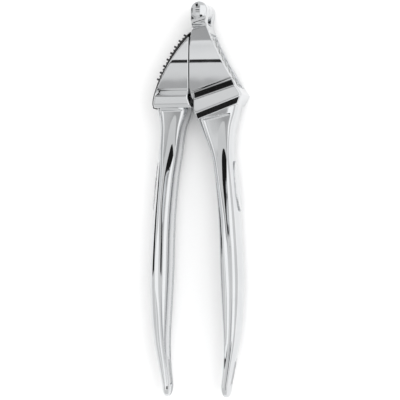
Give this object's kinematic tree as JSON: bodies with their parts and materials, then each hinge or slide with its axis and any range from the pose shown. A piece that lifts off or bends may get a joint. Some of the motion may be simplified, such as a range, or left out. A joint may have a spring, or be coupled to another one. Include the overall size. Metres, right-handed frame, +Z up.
{
  "type": "garlic press",
  "caption": "Hinged garlic press: a chromed hopper and lever with long handles, a curved sieve, a wedge plunger and a pegged cleaner plate.",
  "frame": {"origin": "under the middle of the closed press as it lies on its side, on the surface it rests on", "axes": "+Z up along the hinge pin, +Y along the press towards the hinge end, +X towards the hopper's side"},
  "size_m": [0.0472, 0.1912, 0.0237],
  "materials": {
    "chromed_casting": "polished",
    "chromed_cap": "polished",
    "plunger_metal": "satin",
    "sieve_steel": "brushed",
    "steel": "turned",
    "bush_bronze": "sintered",
    "washer_plastic": "satin",
    "cleaner_plastic": "matte",
    "inlay_metal": "satin"
  },
  "bodies": {
    "hopper": {"hopper_casting": "chromed_casting", "sieve_plate": "sieve_steel", "hinge_pin": "steel", "thrust_washer_top": "washer_plastic", "thrust_washer_bottom": "washer_plastic", "pin_cap_top": "chromed_cap", "pin_cap_bottom": "chromed_cap", "hopper_inlay": "inlay_metal"},
    "lever": {"lever_casting": "chromed_casting", "plunger": "plunger_metal", "plunger_screws": "steel", "cleaner_plate": "cleaner_plastic", "hinge_bush": "bush_bronze", "lever_inlay": "inlay_metal"}
  },
  "joints": [
    {"name": "lever_hinge", "type": "hinge", "parent": "hopper", "child": "lever", "pos_m": [0.00245, 0.09155, 0.01185], "axis": [0, 0, -1], "range_deg": [0, 302]}
  ]
}
